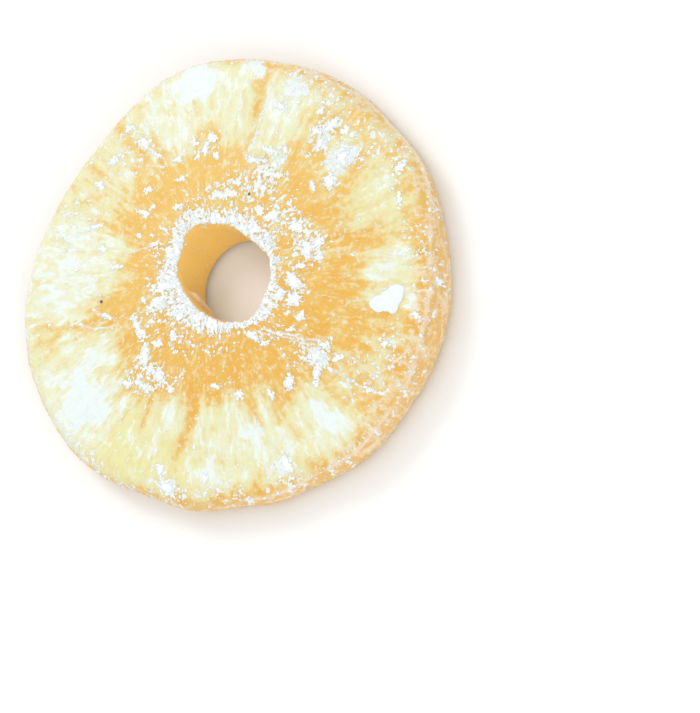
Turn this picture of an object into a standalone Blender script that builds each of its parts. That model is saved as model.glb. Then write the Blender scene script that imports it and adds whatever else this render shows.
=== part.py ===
"""A candied pineapple ring: one slice cut across the fruit, with its core punched out.

The flesh has dried in sugar. It is thickest at the lip of the hole and falls away to a full, uneven
outer edge, with creases between the fruit's segments. The ring lies flat on Z = 0, with the middle
of its box on the Z axis. Lengths are metres, and bearings are degrees anticlockwise from +X as seen
from above.
"""

import math

import bpy
from mathutils import Vector

MM = 0.001

# Driving dimensions.
RING_RADIUS = 39.0 * MM
EDGE_HEIGHT = 7.2 * MM
LIP_HEIGHT = 9.4 * MM
LIP_REACH = 0.12
CREST_REACH = 0.92

# The turned section: how far its two ends are rounded, how square they are, and its points.
EDGE_ROUND = 3.4 * MM
EDGE_FULLNESS = 2.3
HOLE_RADIUS = 8.2 * MM
LIP_ROUND = 1.2 * MM
LIP_FULLNESS = 4.5
EDGE_POINTS = 9
HOLE_POINTS = 9
FACE_POINTS = 9
TURN_STEPS = 128

# The core hole was punched a little aslant, and its top has dried to an oval.
HOLE_CENTRE = Vector((0.5, 1.2)) * MM
HOLE_SLANT = Vector((1.1, -1.5)) * MM
HOLE_OVAL = 0.17
HOLE_OVAL_BEARING = -42.0
HOLE_FLARE = 0.2 * MM

# Bulges and flats of the hole's upper rim, each as bearing, spread in degrees and rise.
RIM_BUMPS = (
    (130.0, 11.0, 0.9 * MM),
    (97.0, 20.0, -0.5 * MM),
    (60.0, 11.0, -0.4 * MM),
    (14.0, 12.0, 0.6 * MM),
    (-31.0, 12.0, -0.5 * MM),
    (-55.0, 9.0, 0.4 * MM),
    (-125.0, 14.0, 0.3 * MM),
    (156.0, 12.0, -0.5 * MM),
)

# The underside is hollow round the hole, as the lip has curled up in drying.
HOLLOW_RISE = 0.6 * MM
HOLLOW_REACH = 0.22

# Bulges and flats of the outer edge, each as bearing, spread in degrees and rise.
OUTLINE_BUMPS = (
    (-160.0, 38.0, 1.5 * MM),
    (-174.0, 13.0, 0.4 * MM),
    (-134.0, 9.0, 0.4 * MM),
    (-112.0, 7.0, -0.7 * MM),
    (-82.0, 8.0, -0.85 * MM),
    (-77.0, 6.0, 0.5 * MM),
    (-65.0, 7.0, -0.5 * MM),
    (-34.0, 30.0, 1.5 * MM),
    (-48.0, 8.0, 0.5 * MM),
    (-26.0, 8.0, 0.3 * MM),
    (-8.0, 17.0, 1.0 * MM),
    (21.0, 8.0, 0.3 * MM),
    (28.0, 8.0, 0.3 * MM),
    (46.0, 9.0, -0.5 * MM),
    (109.0, 20.0, 1.5 * MM),
    (138.0, 17.0, -0.8 * MM),
    (163.0, 12.0, -0.2 * MM),
)

# Rises and dips of the outer crest.
CREST_BUMPS = (
    (-20.0, 40.0, 0.5 * MM),
    (60.0, 22.0, 0.6 * MM),
    (138.0, 30.0, -0.7 * MM),
    (-150.0, 30.0, 0.4 * MM),
    (-80.0, 18.0, -0.5 * MM),
)

# Where the wall of the edge leans: a positive lean spreads its foot past its crest.
EDGE_LEANS = (
    (58.0, 14.0, 1.2 * MM),
    (-5.0, 22.0, 1.2 * MM),
    (-58.0, 16.0, 0.8 * MM),
    (150.0, 30.0, 0.5 * MM),
)

# Creases between segments on the upper face. Each is a bearing and reach where it starts, the
# bearing where it meets the edge, its width and its depth.
CREASES = (
    (-134.0, 0.45, -135.0, 2.0 * MM, 0.55 * MM),
    (-107.0, 0.30, -111.0, 1.8 * MM, 0.35 * MM),
    (-88.0, 0.12, -66.0, 2.0 * MM, 0.40 * MM),
    (-40.0, 0.50, -33.0, 1.9 * MM, 0.40 * MM),
    (16.0, 0.40, 9.0, 2.0 * MM, 0.45 * MM),
    (50.0, 0.45, 52.0, 1.9 * MM, 0.40 * MM),
    (86.0, 0.42, 78.0, 2.1 * MM, 0.60 * MM),
    (128.0, 0.50, 121.0, 1.9 * MM, 0.40 * MM),
    (160.0, 0.50, 157.0, 1.9 * MM, 0.35 * MM),
    (-176.0, 0.45, -171.0, 1.8 * MM, 0.35 * MM),
)
CREASE_FADE = 0.12

FLESH_COLOUR = (0.86, 0.60, 0.26, 1.0)
FLESH_ROUGHNESS = 0.45


def clear_scene():
    for old in list(bpy.data.objects):
        bpy.data.objects.remove(old, do_unlink=True)


def ease(start, end, value):
    """A smooth step from 0 at start to 1 at end."""
    step = min(max((value - start) / (end - start), 0.0), 1.0)
    return step * step * (3.0 - 2.0 * step)


def degrees_between(bearing, other):
    return (bearing - other + 180.0) % 360.0 - 180.0


def bumps_at(bearing, bumps):
    """The sum of the bumps at a bearing, each of them a smooth hump about its own bearing."""
    return sum(
        rise * math.exp(-((degrees_between(bearing, centre) / spread) ** 2))
        for centre, spread, rise in bumps
    )


def face_height(reach):
    """Height of the turned section's upper face, from the lip of the hole out to the crest."""
    return LIP_HEIGHT + (EDGE_HEIGHT - LIP_HEIGHT) * ease(LIP_REACH, CREST_REACH, reach)


def rounded_end(end_radius, inward, height, fullness, count):
    """Points down a rounded end, from the upper face to the underside. Inward is its depth."""
    points = []
    for index in range(count):
        angle = math.pi / 2 - math.pi * index / (count - 1)
        across = abs(math.cos(angle)) ** (2.0 / fullness)
        upward = math.copysign(abs(math.sin(angle)) ** (2.0 / fullness), math.sin(angle))
        points.append((end_radius - inward * (1.0 - across), height * (1.0 + upward) / 2))
    return points


def section():
    """The section as (radius, height): down the outer edge, in underneath, up the hole, out on top."""
    edge = rounded_end(RING_RADIUS, EDGE_ROUND, EDGE_HEIGHT, EDGE_FULLNESS, EDGE_POINTS)
    hole = rounded_end(HOLE_RADIUS, -LIP_ROUND, LIP_HEIGHT, LIP_FULLNESS, HOLE_POINTS)
    hole.reverse()
    inner, outer = hole[0][0], edge[0][0]
    radii = [inner + (outer - inner) * (index + 1) / (FACE_POINTS + 1) for index in range(FACE_POINTS)]
    underside = [(radius, 0.0) for radius in reversed(radii)]
    top = [(radius, face_height(reach_of(radius))) for radius in radii]
    return edge + underside + hole + top


def reach_of(radius):
    """How far out a turned radius lies: 0 at the wall of the hole and 1 at the outer edge."""
    return (radius - HOLE_RADIUS) / (RING_RADIUS - HOLE_RADIUS)


def turned_mesh():
    """The section turned about the Z axis, before the drying bends it."""
    points = section()
    count = len(points)
    outline = bpy.data.meshes.new("ring_section")
    outline.from_pydata(
        [(radius, 0.0, height) for radius, height in points],
        [(index, (index + 1) % count) for index in range(count)],
        [],
    )
    blank = bpy.data.objects.new("ring_blank", outline)
    bpy.context.scene.collection.objects.link(blank)
    screw = blank.modifiers.new("turn", "SCREW")
    screw.steps = screw.render_steps = TURN_STEPS
    screw.use_merge_vertices = True
    screw.merge_threshold = 0.01 * MM
    bpy.context.view_layer.update()
    turned = blank.evaluated_get(bpy.context.evaluated_depsgraph_get())
    mesh = bpy.data.meshes.new_from_object(turned)
    bpy.data.objects.remove(blank)
    bpy.data.meshes.remove(outline)
    return mesh


def hole_point(bearing, level):
    """A point of the hole's wall. Level runs from 0 on the underside to 1 on the upper face."""
    angle = math.radians(bearing)
    oval = HOLE_OVAL * math.cos(2.0 * math.radians(bearing - HOLE_OVAL_BEARING)) * level
    radius = HOLE_RADIUS * (1.0 + oval) + HOLE_FLARE * (level - 0.5)
    radius += bumps_at(bearing, RIM_BUMPS) * level
    centre = HOLE_CENTRE + HOLE_SLANT * (1.0 - level)
    return centre + radius * Vector((math.cos(angle), math.sin(angle)))


def edge_point(bearing, level):
    """A point of the outer edge."""
    angle = math.radians(bearing)
    radius = RING_RADIUS + bumps_at(bearing, OUTLINE_BUMPS)
    radius += bumps_at(bearing, EDGE_LEANS) * (0.5 - level)
    return radius * Vector((math.cos(angle), math.sin(angle)))


def crease_depth(bearing, reach):
    """How far the creases sink the upper face at a point."""
    radius = HOLE_RADIUS + (RING_RADIUS - HOLE_RADIUS) * reach
    depth = 0.0
    for inner, start, outer, width, deepest in CREASES:
        centre = inner + (outer - inner) * (reach - start) / (1.0 - start)
        across = radius * math.radians(degrees_between(bearing, centre))
        depth += deepest * math.exp(-((across / width) ** 2)) * ease(start, start + CREASE_FADE, reach)
    return depth


def dry(mesh):
    """Bends the turned ring into the uneven one: its outline, its hole, its crest and its creases."""
    for vertex in mesh.vertices:
        bearing = math.degrees(math.atan2(vertex.co.y, vertex.co.x))
        reach = reach_of(math.hypot(vertex.co.x, vertex.co.y))
        level = vertex.co.z / face_height(reach)
        place = hole_point(bearing, level).lerp(edge_point(bearing, level), reach)
        height = face_height(reach) + bumps_at(bearing, CREST_BUMPS) * reach
        height -= crease_depth(bearing, reach)
        hollow = HOLLOW_RISE * (1.0 - ease(0.0, HOLLOW_REACH, reach)) * (1.0 - level)
        vertex.co = (place.x, place.y, level * height + hollow)


def centre_on_box(mesh):
    """Moves the mesh so that its box stands on Z = 0, with its middle on the Z axis."""
    xs = [vertex.co.x for vertex in mesh.vertices]
    ys = [vertex.co.y for vertex in mesh.vertices]
    lowest = min(vertex.co.z for vertex in mesh.vertices)
    middle = Vector(((min(xs) + max(xs)) / 2, (min(ys) + max(ys)) / 2, lowest))
    for vertex in mesh.vertices:
        vertex.co -= middle


def flesh_material():
    """Sugar-soaked pineapple flesh: a warm straw yellow with a soft gloss."""
    material = bpy.data.materials.new("candied_flesh")
    material.use_nodes = True
    shader = material.node_tree.nodes["Principled BSDF"]
    shader.inputs["Base Color"].default_value = FLESH_COLOUR
    shader.inputs["Roughness"].default_value = FLESH_ROUGHNESS
    shader.inputs["Metallic"].default_value = 0.0
    return material


def pineapple_ring():
    mesh = turned_mesh()
    mesh.name = "pineapple_ring"
    dry(mesh)
    centre_on_box(mesh)
    mesh.materials.append(flesh_material())
    mesh.shade_smooth()
    return bpy.data.objects.new("pineapple_ring", mesh)


def main():
    clear_scene()
    parts = bpy.data.collections.new("pineapple_ring")
    bpy.context.scene.collection.children.link(parts)
    parts.objects.link(pineapple_ring())


main()
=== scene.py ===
"""The looks of a candied pineapple ring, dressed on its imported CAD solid.

The flesh is resampled from the solid onto a fine grid that runs round the ring and round its
section, so every feature is placed by a bearing and a reach: bearings are degrees anticlockwise
from +X as seen from above, and reach is 0 at the wall of the hole and 1 at the outer edge. The
grid takes the relief of the fibres, creases and sugar crust as real geometry, and loose sugar
lies on it as crystals of its own. Arrays hold millimetres, and Blender's objects metres.
"""

import math

import bmesh
import bpy
import numpy as np
from mathutils import Matrix, Vector
from mathutils.bvhtree import BVHTree


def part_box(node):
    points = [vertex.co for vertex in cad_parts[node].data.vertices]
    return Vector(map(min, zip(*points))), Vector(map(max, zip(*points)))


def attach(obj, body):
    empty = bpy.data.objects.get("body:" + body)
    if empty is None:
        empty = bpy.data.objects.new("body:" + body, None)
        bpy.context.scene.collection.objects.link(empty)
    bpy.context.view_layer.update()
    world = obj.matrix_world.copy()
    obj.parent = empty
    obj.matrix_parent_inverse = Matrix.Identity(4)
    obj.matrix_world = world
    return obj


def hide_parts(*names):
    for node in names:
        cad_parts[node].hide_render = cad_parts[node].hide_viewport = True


MM = 0.001
NODE = "pineapple_ring"

# The grid: bearings round the ring, and points round its section.
TURN_POINTS = 820
SECTION_POINTS = 210
CAST_TURNS = 256
FACE_RAYS = 60
EDGE_RAYS = 44
HOLE_RAYS = 72
CORE_RADIUS = 14.0
UNDERSIDE_SHARE = 0.3

# Pale, fibrous cells of flesh: bearing, half width in degrees, inner and outer reach, how pale
# and how yellow.
CELLS = (
    (174, 9, 0.37, 1.10, 0.95, 0.3),
    (163, 5, 0.34, 1.10, 0.85, 0.3),
    (154, 7, 0.52, 1.05, 0.68, 0.5),
    (139, 8, 0.55, 1.05, 0.68, 0.4),
    (122, 6, 0.62, 1.10, 0.75, 0.3),
    (113, 7, 0.47, 1.10, 0.95, 0.3),
    (100, 10, 0.57, 1.10, 0.95, 0.3),
    (88, 6, 0.50, 1.05, 0.90, 0.4),
    (76, 4, 0.42, 0.95, 0.85, 0.5),
    (69, 5, 0.43, 0.92, 0.90, 0.3),
    (62, 4, 0.53, 0.90, 0.60, 0.3),
    (47, 4, 0.58, 0.80, 0.55, 0.2),
    (41, 4, 0.60, 0.88, 0.55, 0.2),
    (29, 5, 0.62, 0.86, 0.65, 0.6),
    (21, 6, 0.53, 0.90, 0.85, 0.7),
    (2, 5, 0.56, 0.92, 0.80, 0.3),
    (-6, 6, 0.60, 0.92, 0.75, 0.2),
    (-12, 5, 0.53, 0.66, 0.25, 0.3),
    (-43, 5, 0.60, 0.95, 0.45, 0.2),
    (-50, 6, 0.57, 0.97, 0.90, 0.2),
    (-59, 5, 0.57, 1.00, 0.80, 0.6),
    (-67, 4, 0.42, 1.00, 0.80, 0.3),
    (-76, 6, 0.55, 0.93, 0.85, 0.4),
    (-87, 9, 0.43, 0.97, 0.90, 0.5),
    (-96, 4, 0.60, 0.95, 0.70, 0.5),
    (-108, 5, 0.44, 0.72, 0.85, 0.3),
    (-113, 13, 0.66, 1.00, 0.90, 1.3),
    (-115, 4, 0.52, 0.80, 0.80, 0.5),
    (-124, 5, 0.52, 0.97, 0.85, 0.8),
    (-134, 6, 0.55, 1.05, 1.00, 0.1),
    (-145, 8, 0.58, 1.05, 1.00, 0.1),
    (-142, 5, 0.44, 0.60, 0.40, 0.5),
    (-153, 6, 0.42, 1.05, 0.95, 0.2),
    (-161, 4, 0.46, 1.05, 0.70, 0.6),
    (-173, 6, 0.50, 1.05, 0.85, 0.3),
    (180, 5, 0.48, 1.05, 0.85, 0.4),
)

# Amber fibres between the cells: bearing and reach of the inner end, then of the outer end,
# half width in millimetres, and strength.
FIBRES = (
    (-98, 0.36, -105, 0.80, 1.35, 0.8),
    (-162, 0.42, -168, 0.68, 0.9, 0.7),
    (-168, 0.65, -169, 0.92, 0.4, 0.5),
    (-119, 0.42, -120, 0.70, 1.0, 0.22),
    (-64, 0.52, -65, 0.68, 0.8, 0.6),
    (-73, 0.80, -77, 0.94, 0.9, 0.35),
    (84, 0.50, 83, 0.86, 1.1, 0.22),
    (168, 0.62, 167, 0.84, 0.4, 0.5),
    (175, 0.48, 176, 0.63, 0.4, 0.4),
    (142, 0.70, 142, 0.94, 0.6, 0.4),
    (128, 0.62, 127, 0.84, 0.9, 0.25),
    (121, 0.48, 121, 0.72, 0.8, 0.5),
    (155, 0.80, 155, 0.97, 3.5, 0.12),
    (135, 0.82, 134, 0.97, 3.5, 0.15),
)

# White veils, where the flesh is bleached or thick with fine sugar: bearing, reach, half length
# along the reach and half width in millimetres, lean from the reach in degrees, and strength.
VEILS = (
    (103, 0.86, 4.2, 4.8, 0, 1.0),
    (-141, 0.78, 5.0, 6.6, 0, 0.92),
    (-152, 0.66, 6.0, 2.4, 0, 0.6),
    (-49.5, 0.77, 5.4, 1.9, 13, 0.78),
    (-75.5, 0.62, 2.5, 2.8, 0, 0.65),
    (-90, 0.80, 3.6, 1.0, 0, 0.6),
    (70, 0.86, 2.8, 2.8, 0, 0.9),
    (86, 0.92, 2.2, 3.2, 0, 0.7),
    (171.5, 0.76, 3.6, 0.7, 0, 0.8),
    (163.2, 0.77, 3.6, 0.6, 0, 0.8),
    (176, 0.62, 4.0, 0.8, 0, 0.7),
    (136, 0.62, 1.6, 1.3, 0, 0.5),
    (118, 0.87, 2.2, 1.6, 0, 0.5),
    (42, 0.70, 3.4, 2.2, 10, 0.75),
    (52, 0.70, 3.6, 0.9, -8, 0.8),
    (-104, 0.92, 1.4, 1.8, 0, 0.7),
    (-67.5, 0.87, 1.9, 1.1, 0, 0.7),
    (0, 0.70, 3.2, 1.1, 0, 0.6),
    (-96, 0.55, 3.0, 1.0, 0, 0.5),
    (-38, 0.51, 2.2, 1.8, 0, 0.7),
    (180, 0.72, 7.0, 6.0, 0, 0.42),
    (166, 0.70, 7.0, 5.0, 0, 0.42),
    (147, 0.70, 4.0, 5.0, 0, 0.30),
    (112, 0.62, 4.5, 5.0, 0, 0.34),
    (74, 0.66, 6.0, 2.5, 0, 0.34),
    (-92, 0.74, 6.0, 4.0, 0, 0.34),
    (-112, 0.82, 4.0, 4.5, 0, 0.30),
    (-160, 0.74, 6.0, 3.0, 0, 0.40),
    (-174, 0.78, 5.0, 3.5, 0, 0.36),
    (22, 0.70, 5.0, 3.0, 0, 0.26),
    (-5, 0.75, 5.0, 4.0, 0, 0.26),
)

# Clumps of loose sugar: bearing, reach, half length along the reach and half width in
# millimetres, and lean from the reach in degrees.
CLUMPS = (
    (101.3, 0.465, 1.1, 0.45, 0),
    (106, 0.53, 0.7, 0.4, 0),
    (98, 0.525, 0.6, 0.9, 0),
    (96.5, 0.415, 0.6, 0.4, 60),
    (142.5, 0.385, 1.4, 0.5, 10),
    (137, 0.35, 0.7, 0.35, 60),
    (133.5, 0.455, 0.8, 0.45, 45),
    (115, 0.47, 0.9, 0.25, 60),
    (116.5, 0.35, 0.7, 0.35, 70),
    (153.5, 0.325, 0.5, 0.3, 0),
    (154.5, 0.205, 0.8, 0.3, 50),
    (124.5, 0.215, 1.0, 0.25, 60),
    (93, 0.18, 1.2, 0.5, 80),
    (145, 0.77, 0.8, 0.4, 10),
    (136.5, 0.80, 0.9, 0.5, 70),
    (127, 0.865, 0.5, 0.5, 0),
    (125, 0.72, 1.4, 0.8, 20),
    (122.5, 0.585, 1.6, 0.2, 30),
    (157.5, 0.64, 1.5, 0.35, 30),
    (165, 0.535, 0.9, 0.4, 10),
    (172, 0.405, 1.3, 0.3, 5),
    (72.5, 0.74, 0.6, 1.3, 0),
    (69.5, 0.485, 0.4, 1.6, 0),
    (63, 0.53, 0.6, 0.4, 30),
    (61, 0.47, 0.6, 0.4, 0),
    (76, 0.405, 0.5, 1.2, 0),
    (64, 0.42, 0.35, 0.7, 0),
    (63, 0.37, 2.2, 0.35, -75),
    (67.5, 0.30, 1.6, 0.4, 15),
    (62.5, 0.285, 0.9, 0.5, 70),
    (58.5, 0.81, 0.7, 0.4, 0),
    (53, 0.77, 2.0, 0.7, -12),
    (56, 0.70, 0.8, 0.5, -60),
    (52.5, 0.66, 0.9, 0.4, 0),
    (48, 0.82, 0.7, 0.6, 0),
    (45, 0.82, 0.5, 0.4, 0),
    (42, 0.70, 1.6, 0.9, 15),
    (37.5, 0.555, 1.4, 1.0, 60),
    (42, 0.475, 0.8, 0.35, 70),
    (28, 0.91, 1.4, 0.6, 30),
    (19.5, 0.845, 1.2, 0.3, 70),
    (27.5, 0.27, 0.9, 1.6, 0),
    (14, 0.36, 0.9, 0.8, 0),
    (12, 0.29, 0.9, 1.5, 0),
    (6, 0.35, 0.5, 0.4, 0),
    (2.5, 0.235, 0.7, 0.4, 0),
    (44.5, 0.20, 1.4, 0.7, -35),
    (57, 0.165, 0.5, 0.8, 0),
    (85, 0.195, 0.35, 1.5, 0),
    (82, 0.26, 0.25, 0.6, 0),
    (-13, 0.90, 0.9, 0.35, 5),
    (-23, 0.785, 0.6, 0.4, 30),
    (-26.5, 0.29, 0.8, 0.5, 60),
    (-35, 0.285, 0.5, 0.35, 30),
    (-32.5, 0.485, 0.9, 0.5, 10),
    (-38, 0.49, 1.3, 0.6, 20),
    (-43, 0.545, 1.6, 0.6, -50),
    (-34, 0.585, 0.8, 0.4, 50),
    (-53.5, 0.475, 1.3, 0.6, -45),
    (-62.5, 0.495, 0.8, 0.35, 0),
    (-77.5, 0.42, 0.7, 0.6, 0),
    (-88.5, 0.36, 0.3, 0.8, 0),
    (-52.5, 0.22, 0.6, 0.35, 60),
    (-57.5, 0.14, 1.0, 0.6, 50),
    (-8, 0.20, 1.7, 1.0, -60),
    (-19, 0.22, 1.2, 1.2, 0),
    (-19, 0.135, 0.6, 1.0, 0),
    (-67.5, 0.865, 1.8, 0.9, 0),
    (-104, 0.925, 1.1, 1.6, 0),
    (-107.5, 0.845, 0.5, 1.0, 0),
    (-93, 0.85, 0.6, 0.5, 0),
    (-114, 0.425, 0.35, 0.6, 0),
    (-123, 0.385, 1.2, 0.9, 60),
    (-129, 0.38, 0.9, 0.6, 30),
    (-135.5, 0.355, 2.0, 0.8, 50),
    (-151.5, 0.30, 0.5, 2.4, 0),
    (-129.5, 0.175, 0.5, 0.7, 0),
    (-135.5, 0.26, 0.9, 0.35, -55),
    (-165, 0.445, 1.3, 0.2, -40),
    (-128, 0.475, 0.35, 2.0, 0),
    (-134.5, 0.525, 1.2, 0.4, -55),
    (-166.5, 0.215, 0.4, 0.4, 0),
    (-161, 0.15, 2.0, 0.6, 15),
    (-173, 0.09, 1.4, 0.8, 0),
    (-4, 0.985, 0.7, 0.7, 0),
)

# Creases: as the fibres, with a half width and a depth in millimetres.
CREASES = (
    (81.5, 0.44, 80.5, 0.97, 0.45, 0.14),
    (-126.4, 0.57, -128.4, 0.78, 0.26, 0.15),
    (-128.2, 0.74, -130.6, 0.97, 0.26, 0.15),
    (160, 0.28, 152, 0.10, 0.25, 0.22),
    (-101, 0.30, -104, 0.80, 0.60, 0.26),
    (-66, 0.30, -64, 0.68, 0.35, 0.20),
    (-163, 0.40, -169, 0.92, 0.40, 0.13),
    (-34, 0.44, -45, 0.20, 0.25, 0.20),
    (13, 0.35, 14, 0.85, 0.40, 0.15),
    (142, 0.62, 142, 0.95, 0.25, 0.14),
)

# Fine ridges that catch the light, each with a half width and a height in millimetres; a pale painted
# highlight is also laid along them.
RIDGES = (
    (79, 0.44, 78, 0.93, 0.25, 0.16),
    (-31, 0.50, -35, 0.38, 0.22, 0.18),
    (-35, 0.40, -40, 0.25, 0.20, 0.18),
    (-34, 0.46, -43, 0.22, 0.18, 0.16),
    (-40, 0.27, -47, 0.15, 0.20, 0.18),
    (-43, 0.23, -53, 0.14, 0.18, 0.14),
    (-38.6, 0.56, -36.8, 0.76, 0.20, 0.18),
    (-36.9, 0.74, -34.5, 0.94, 0.20, 0.18),
    (-41, 0.80, -35, 0.60, 0.18, 0.14),
    (-31, 0.62, -33, 0.93, 0.16, 0.14),
    (-26.4, 0.81, -25, 0.96, 0.18, 0.18),
    (-22, 0.92, -33, 0.80, 0.18, 0.15),
    (-7, 0.86, -6.6, 0.97, 0.20, 0.18),
    (4, 0.62, 2, 0.90, 0.18, 0.10),
    (-166.8, 0.64, -162, 0.53, 0.20, 0.18),
    (-162.2, 0.54, -159.5, 0.42, 0.20, 0.18),
    (-171, 0.54, -162.9, 0.43, 0.20, 0.16),
    (-174, 0.42, -178, 0.60, 0.18, 0.12),
    (166, 0.35, 157, 0.22, 0.20, 0.16),
    (126, 0.72, 121, 0.54, 0.18, 0.14),
    (129, 0.60, 122, 0.48, 0.16, 0.12),
)

# The ring that reach starts from, round the hole: its radius, shift and oval in millimetres.
INNER_RADIUS = 8.0
INNER_SHIFT = 0.3
INNER_OVAL = 0.57
INNER_BEARING = -48.6

# How steep the face is where its crest lies: bearing, and the upward part of its normal there.
CREST_UPWARD = (
    (-60, 0.50),
    (-30, 0.55),
    (-20, 0.80),
    (5, 0.75),
    (14, 0.50),
    (22, 0.10),
    (50, 0.10),
    (60, 0.50),
    (180, 0.50),
)

# How far out the crust round the hole spreads: bearing and reach.
LIP_CRUST = (
    (-172, 0.16),
    (-167, 0.08),
    (-160, 0.19),
    (-150, 0.13),
    (-120, 0.09),
    (-75, 0.07),
    (-50, 0.10),
    (-35, 0.14),
    (-25, 0.15),
    (-12, 0.12),
    (0, 0.10),
    (10, 0.12),
    (20, 0.10),
    (32, 0.17),
    (40, 0.12),
    (50, 0.10),
    (60, 0.13),
    (70, 0.12),
    (90, 0.09),
    (100, 0.11),
    (110, 0.12),
    (120, 0.16),
    (130, 0.15),
    (150, 0.11),
    (160, 0.09),
    (180, 0.13),
)

# Thinly sugared areas: bearing, reach, half length along the reach and half width in
# millimetres, lean from the reach in degrees, and share of the surface covered.
DRIFTS = (
    (66, 0.38, 4.5, 4.0, 0, 0.44),
    (18, 0.30, 3.6, 6.5, 0, 0.46),
    (-13, 0.22, 2.6, 4.5, 0, 0.46),
    (-38, 0.47, 4.5, 3.6, 0, 0.46),
    (-127, 0.42, 3.2, 5.5, 0, 0.44),
    (42, 0.70, 4.8, 3.2, 0, 0.44),
    (53, 0.72, 5.0, 2.6, 0, 0.38),
    (70, 0.86, 3.4, 3.4, 0, 0.40),
    (40, 0.24, 3.0, 6.0, 0, 0.36),
    (-50, 0.20, 2.5, 4.0, 0, 0.32),
    (75, 0.26, 3.5, 5.0, 0, 0.32),
    (102, 0.50, 2.6, 3.2, 0, 0.34),
    (105, 0.19, 2.0, 4.0, 0, 0.28),
    (150, 0.16, 2.5, 4.0, 0, 0.30),
    (-150, 0.20, 3.5, 4.0, 0, 0.32),
    (-120, 0.17, 2.5, 3.5, 0, 0.28),
    (-90, 0.16, 2.0, 4.0, 0, 0.24),
    (62, 0.90, 3.0, 9.0, 0, 0.22),
    (35, 0.86, 4.0, 9.0, 0, 0.18),
    (5, 0.88, 3.0, 8.0, 0, 0.16),
    (-28, 0.80, 4.5, 8.0, 0, 0.18),
    (-68, 0.88, 3.0, 3.5, 0, 0.30),
    (-88, 0.92, 2.4, 6.0, 0, 0.24),
    (-105, 0.93, 2.4, 6.0, 0, 0.34),
    (-135, 0.95, 1.6, 9.0, 0, 0.26),
    (130, 0.75, 4.0, 7.0, 0, 0.22),
    (160, 0.80, 5.0, 6.0, 0, 0.18),
)

# One broad flake: its bearing and reach, and its outline as millimetres across and outward.
FLAKE_PLACE = (-10.5, 0.722)
FLAKE_OUTLINE = (
    (-1.2, -3.1),
    (-0.3, -2.7),
    (0.7, -1.2),
    (1.8, 0.0),
    (2.5, 0.5),
    (2.8, 1.3),
    (2.5, 2.9),
    (0.7, 2.9),
    (-0.4, 2.4),
    (-1.7, 2.2),
    (-2.1, 1.5),
    (-1.8, 0.7),
    (-1.9, -0.2),
    (-2.4, -1.1),
    (-2.0, -2.2),
)
FLAKE_SPOKES = 110
FLAKE_RINGS = 12

# Dark specks: bearing and reach.
SPECKS = ((70.2, 0.217), (-172.5, 0.475))

# The loose strip on the wall of the hole: its bearings and heights at its top and foot, and its
# half width in millimetres.
FLAP_BEARINGS = (-160.0, -128.0)
FLAP_TOP = 7.5
FLAP_FOOT = 1.8
FLAP_HALF = 0.75

# How many small grains lie on the ring.
GRAINS = 2000

# The camera: its tilt from straight above, and where the ring's foot lies in the frame.
CAMERA_TILT = 30.0
CAMERA_BEARING = -25.0
LENS = 260.0
SENSOR = 36.0
FRAME_HEIGHT = 121.4
FRAME_RIGHT = 17.96
FRAME_DOWN = 11.77

# The light that comes from all round.
STUDIO_WHITE = (1.0, 1.0, 0.995)
STUDIO_LIGHT = 1.0


def ease(low, high, value):
    """A smooth step from 0 at low to 1 at high."""
    step = np.clip((value - low) / (high - low), 0.0, 1.0)
    return step * step * (3.0 - 2.0 * step)


def degrees_between(bearing, other):
    return (bearing - other + 180.0) % 360.0 - 180.0


def noise(points, seed):
    """Gradient noise, about -1 to 1, at an array of points whose last axis is x, y, z."""
    random = np.random.default_rng(seed)
    table = np.tile(random.permutation(256), 2)
    gradients = random.normal(size=(256, 3))
    gradients /= np.linalg.norm(gradients, axis=1)[:, None]
    cell = np.floor(points).astype(int)
    local = points - cell
    cell &= 255
    blend = local**3 * (local * (local * 6.0 - 15.0) + 10.0)
    total = np.zeros(points.shape[:-1])
    for corner in np.ndindex(2, 2, 2):
        ends = np.array(corner)
        index = table[table[cell[..., 0] + ends[0]] + cell[..., 1] + ends[1]]
        index = table[index % 256 + cell[..., 2] + ends[2]]
        weight = np.prod(np.where(ends == 1, blend, 1.0 - blend), axis=-1)
        total += weight * np.sum(gradients[index] * (local - ends), axis=-1)
    return total * 1.6


def octaves(points, seed, count=3, gain=0.5):
    """Several layers of noise, each twice as fine as the last."""
    total = sum(gain**layer * noise(points * 2.0**layer, seed + layer) for layer in range(count))
    return total / sum(gain**layer for layer in range(count))


def blur(grid, turns, steps):
    """A Gaussian blur of a grid that wraps both ways, by so many points each way."""
    for axis, spread in ((0, turns), (1, steps)):
        reach = int(3 * spread) + 1
        offsets = np.arange(-reach, reach + 1)
        weights = np.exp(-0.5 * (offsets / spread) ** 2)
        weights /= weights.sum()
        grid = sum(w * np.roll(grid, o, axis=axis) for w, o in zip(weights, offsets))
    return grid


def smoothed(values, spread):
    """A Gaussian blur of a closed row of values."""
    return blur(np.stack([values, values], axis=1), spread, 0.01)[:, 0]


def evenly(field):
    """A field's values replaced by their rank, from 0 to 1, so that a share can be cut from it."""
    rank = np.empty(field.size)
    rank[np.argsort(field, axis=None)] = np.linspace(0.0, 1.0, field.size)
    return rank.reshape(field.shape)


# The flesh's surface.


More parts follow.
